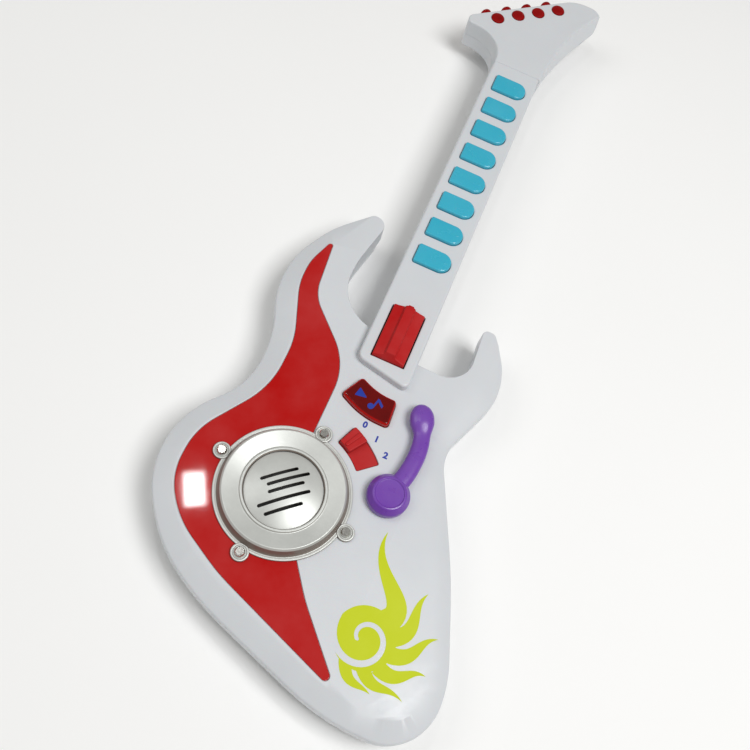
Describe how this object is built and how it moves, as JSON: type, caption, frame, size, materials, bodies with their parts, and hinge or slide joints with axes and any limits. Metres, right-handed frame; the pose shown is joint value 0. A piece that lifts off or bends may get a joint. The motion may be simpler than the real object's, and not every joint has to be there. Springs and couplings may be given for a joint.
{
  "type": "toy electric guitar",
  "caption": "Toy electric guitar with pressing neck keys, a rocking strum bar, a demo button, a curved volume slider, a swinging whammy bar, a speaker and a battery box.",
  "frame": {"origin": "middle of the overall box in X and Y, on the flat rear face", "axes": "+Y from the body to the headstock, +Z out of the front face, +X to the right seen from the front with the headstock up"},
  "size_m": [0.2036, 0.5752, 0.0446],
  "materials": {
    "white_plastic": "satin moulded plastic",
    "red_panel_plastic": "high gloss",
    "decal_film": "printed film",
    "silver_plate": "silver-plated plastic, satin",
    "bright_steel": "bright zinc plate",
    "speaker_metal": "black paint",
    "speaker_paper": "pressed paper",
    "ferrite": "ferrite",
    "clear_dark_red": "translucent dark red",
    "red_plastic": "satin moulded plastic",
    "key_plastic": "satin moulded plastic",
    "purple_plastic": "gloss moulded plastic",
    "circuit_board": "solder mask",
    "black_parts": "moulded plastic",
    "clear_lamp": "clear red lamp",
    "lead_cover": "lead insulation",
    "rubber": "silicone rubber",
    "cell_jacket": "printed jacket"
  },
  "bodies": {
    "casing": {"battery_box": "white_plastic", "battery_cells": "cell_jacket", "battery_contacts": "bright_steel", "battery_door": "white_plastic", "battery_door_screw": "bright_steel", "battery_leads": "lead_cover", "battery_springs": "bright_steel", "bezel_screws": "bright_steel", "board_parts": "black_parts", "board_screws": "bright_steel", "body_front_shell": "white_plastic", "body_rear_shell": "white_plastic", "body_screws": "bright_steel", "demo_switch": "black_parts", "edge_pegs": "clear_dark_red", "face_lenses": "clear_dark_red", "flame_decal": "decal_film", "headstock_cover": "white_plastic", "headstock_screws": "bright_steel", "key_board": "circuit_board", "key_membrane": "rubber", "lamp_board": "circuit_board", "lamp_leads": "lead_cover", "lamps": "clear_lamp", "main_board": "circuit_board", "neck_front_shell": "white_plastic", "neck_rear_shell": "white_plastic", "neck_screws": "bright_steel", "red_panel": "red_panel_plastic", "ribbon_cable": "lead_cover", "slide_switch": "black_parts", "speaker_basket": "speaker_metal", "speaker_bezel": "silver_plate", "speaker_clamps": "bright_steel", "speaker_cone": "speaker_paper", "speaker_grille": "silver_plate", "speaker_leads": "lead_cover", "speaker_magnet": "ferrite", "strum_board": "circuit_board", "strum_board_screws": "bright_steel", "strum_pin": "bright_steel", "strum_switches": "rubber", "tongue_screws": "bright_steel", "whammy_spring": "bright_steel", "whammy_switch": "black_parts"},
    "key_1": {"key_1": "key_plastic"},
    "key_2": {"key_2": "key_plastic"},
    "key_3": {"key_3": "key_plastic"},
    "key_4": {"key_4": "key_plastic"},
    "key_5": {"key_5": "key_plastic"},
    "key_6": {"key_6": "key_plastic"},
    "key_7": {"key_7": "key_plastic"},
    "key_8": {"key_8": "key_plastic"},
    "strum_bar": {"strum_bar": "red_plastic"},
    "demo_button": {"demo_button": "clear_dark_red"},
    "switch_slider": {"switch_slider": "red_plastic"},
    "whammy": {"whammy_bar": "purple_plastic", "whammy_washer": "bright_steel", "whammy_screw": "bright_steel"}
  },
  "joints": [
    {"name": "key_1_press", "type": "slide", "parent": "casing", "child": "key_1", "axis": [0, 0, -1], "range_m": [0, 0.002], "stiffness_N_per_m": 750, "springref_m": -0.0005},
    {"name": "key_2_press", "type": "slide", "parent": "casing", "child": "key_2", "axis": [0, 0, -1], "range_m": [0, 0.002], "stiffness_N_per_m": 750, "springref_m": -0.0005},
    {"name": "key_3_press", "type": "slide", "parent": "casing", "child": "key_3", "axis": [0, 0, -1], "range_m": [0, 0.002], "stiffness_N_per_m": 750, "springref_m": -0.0005},
    {"name": "key_4_press", "type": "slide", "parent": "casing", "child": "key_4", "axis": [0, 0, -1], "range_m": [0, 0.002], "stiffness_N_per_m": 750, "springref_m": -0.0005},
    {"name": "key_5_press", "type": "slide", "parent": "casing", "child": "key_5", "axis": [0, 0, -1], "range_m": [0, 0.002], "stiffness_N_per_m": 750, "springref_m": -0.0005},
    {"name": "key_6_press", "type": "slide", "parent": "casing", "child": "key_6", "axis": [0, 0, -1], "range_m": [0, 0.002], "stiffness_N_per_m": 750, "springref_m": -0.0005},
    {"name": "key_7_press", "type": "slide", "parent": "casing", "child": "key_7", "axis": [0, 0, -1], "range_m": [0, 0.002], "stiffness_N_per_m": 750, "springref_m": -0.0005},
    {"name": "key_8_press", "type": "slide", "parent": "casing", "child": "key_8", "axis": [0, 0, -1], "range_m": [0, 0.002], "stiffness_N_per_m": 750, "springref_m": -0.0005},
    {"name": "strum_rock", "type": "hinge", "parent": "casing", "child": "strum_bar", "pos_m": [-0.00175, -0.0612, 0.0335], "axis": [0, 1, 0], "range_deg": [-6, 6], "stiffness_Nm_per_rad": 0.6},
    {"name": "demo_press", "type": "slide", "parent": "casing", "child": "demo_button", "axis": [0, 0, -1], "range_m": [0, 0.0015], "stiffness_N_per_m": 800, "springref_m": -0.0004},
    {"name": "volume_slide", "type": "hinge", "parent": "casing", "child": "switch_slider", "pos_m": [-0.02595, -0.18305, 0.0305], "axis": [0, 0, 1], "range_deg": [-13, 0]},
    {"name": "whammy_swing", "type": "hinge", "parent": "casing", "child": "whammy", "pos_m": [0.03075, -0.16045, 0.0325], "axis": [0, 0, 1], "range_deg": [-14, 6], "stiffness_Nm_per_rad": 0.12}
  ]
}
